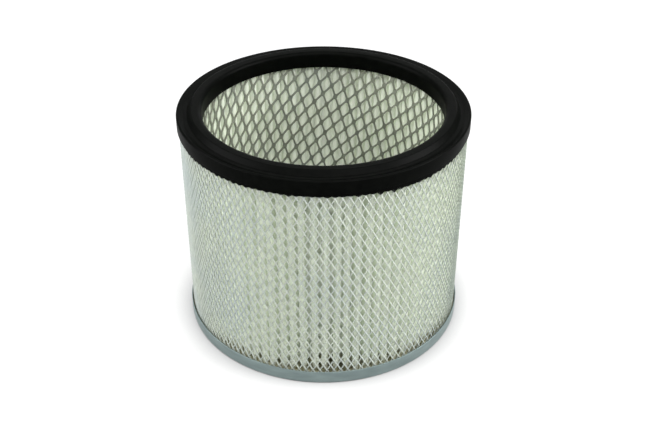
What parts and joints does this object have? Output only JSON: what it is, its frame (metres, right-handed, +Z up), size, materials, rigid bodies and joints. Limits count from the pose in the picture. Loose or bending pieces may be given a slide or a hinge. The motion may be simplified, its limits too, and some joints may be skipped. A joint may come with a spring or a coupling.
{
  "type": "round pleated cartridge filter",
  "caption": "Round pleated particle filter cartridge: media pack between two expanded metal tubes, moulded black sealing ring at the open end, closed steel pan below.",
  "frame": {"origin": "centre of the closed lower end, on the surface it stands on", "axes": "+Z up along the cartridge's axis, out of the open end"},
  "size_m": [0.15, 0.15, 0.123],
  "materials": {
    "moulded_ring": "satin black moulded foam rubber, faintly mottled",
    "guard_steel": "bright galvanised expanded metal",
    "filter_media": "matt pale fibre sheet, tight pleats",
    "core_steel": "dull galvanised expanded metal",
    "adhesive": "brownish set adhesive",
    "pan_steel": "galvanised sheet, satin, faintly mottled"
  },
  "bodies": {
    "root": {"top_cap": "moulded_ring", "outer_mesh": "guard_steel", "pleated_media": "filter_media", "inner_mesh": "core_steel", "bottom_potting": "adhesive", "bottom_pan": "pan_steel"}
  },
  "joints": []
}
